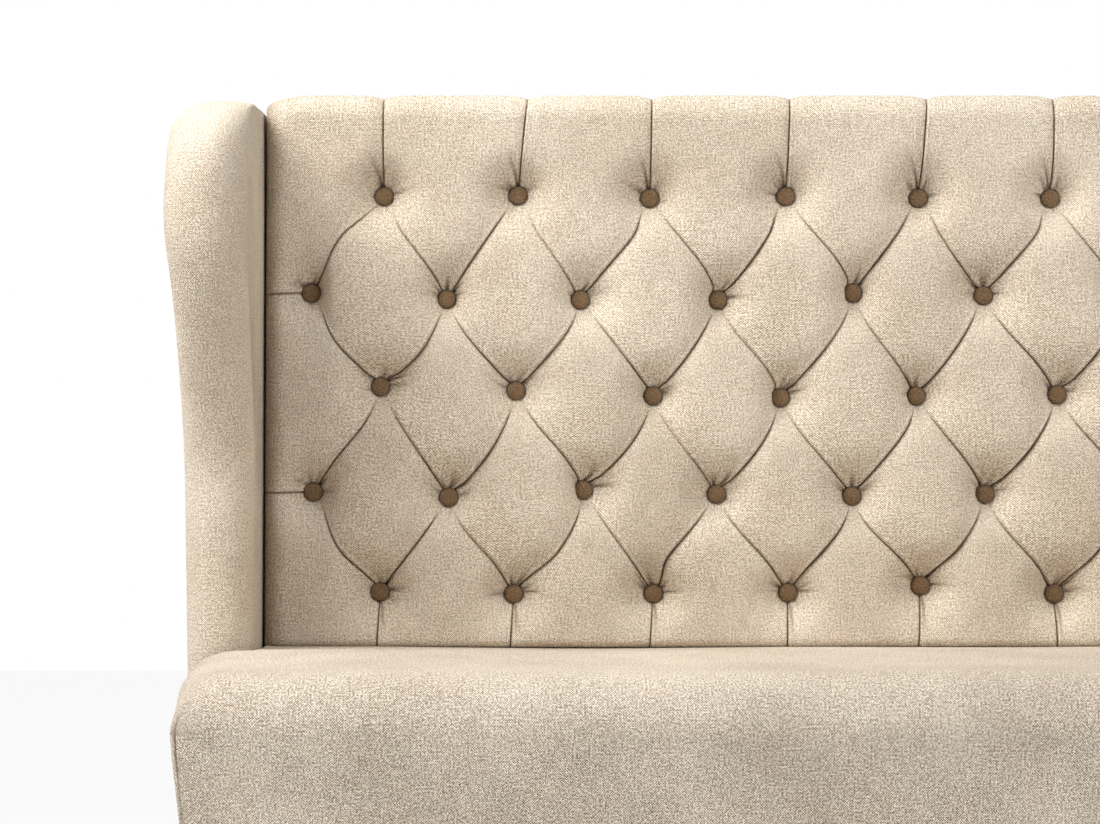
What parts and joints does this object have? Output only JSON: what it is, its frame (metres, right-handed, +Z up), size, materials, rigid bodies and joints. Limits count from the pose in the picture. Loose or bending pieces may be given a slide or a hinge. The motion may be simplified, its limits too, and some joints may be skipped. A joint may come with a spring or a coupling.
{
  "type": "two-seater wingback sofa",
  "caption": "Two-seater wingback settee with a diamond-tufted back, covered buttons, a tight seat, padded wings and tapered wooden legs.",
  "frame": {"origin": "on the floor under the middle of the sofa", "axes": "+X along the sofa's width, -Y out of the seat's front, +Z up"},
  "size_m": [1.3642, 0.5962, 1.04],
  "materials": {
    "linen": "matte",
    "button_cloth": "matte",
    "foam": "matte",
    "lining": "matte",
    "timber": "matte",
    "board": "matte",
    "leg_wood": "satin",
    "steel": "satin",
    "nylon": "matte"
  },
  "bodies": {
    "root": {"tufted_back_cover": "linen", "outer_back_cover": "linen", "left_wing_cover": "linen", "right_wing_cover": "linen", "seat_cover": "linen", "button_row_1": "button_cloth", "button_row_2": "button_cloth", "button_row_3": "button_cloth", "button_row_4": "button_cloth", "button_row_5": "button_cloth", "back_foam": "foam", "left_wing_foam": "foam", "right_wing_foam": "foam", "seat_foam": "foam", "spring_pad": "lining", "dust_cover": "lining", "tufting_panel": "board", "left_wing_panel": "board", "right_wing_panel": "board", "back_left_post": "timber", "back_right_post": "timber", "back_left_stile": "timber", "back_right_stile": "timber", "back_top_rail": "timber", "back_seat_rail": "timber", "back_bottom_rail": "timber", "seat_front_rail": "timber", "seat_rear_rail": "timber", "seat_left_rail": "timber", "seat_right_rail": "timber", "seat_left_ear": "timber", "seat_right_ear": "timber", "seat_brace": "timber", "front_left_corner_block": "timber", "front_right_corner_block": "timber", "rear_left_corner_block": "timber", "rear_right_corner_block": "timber", "seat_spring_1": "steel", "seat_spring_2": "steel", "seat_spring_3": "steel", "seat_spring_4": "steel", "seat_spring_5": "steel", "seat_spring_6": "steel", "front_left_hanger_bolt": "steel", "front_right_hanger_bolt": "steel", "rear_left_hanger_bolt": "steel", "rear_right_hanger_bolt": "steel", "frame_bolt_1": "steel", "frame_bolt_2": "steel", "frame_bolt_3": "steel", "frame_bolt_4": "steel", "front_left_leg": "leg_wood", "front_right_leg": "leg_wood", "rear_left_leg": "leg_wood", "rear_right_leg": "leg_wood", "front_left_glide": "nylon", "front_right_glide": "nylon", "rear_left_glide": "nylon", "rear_right_glide": "nylon"}
  },
  "joints": []
}
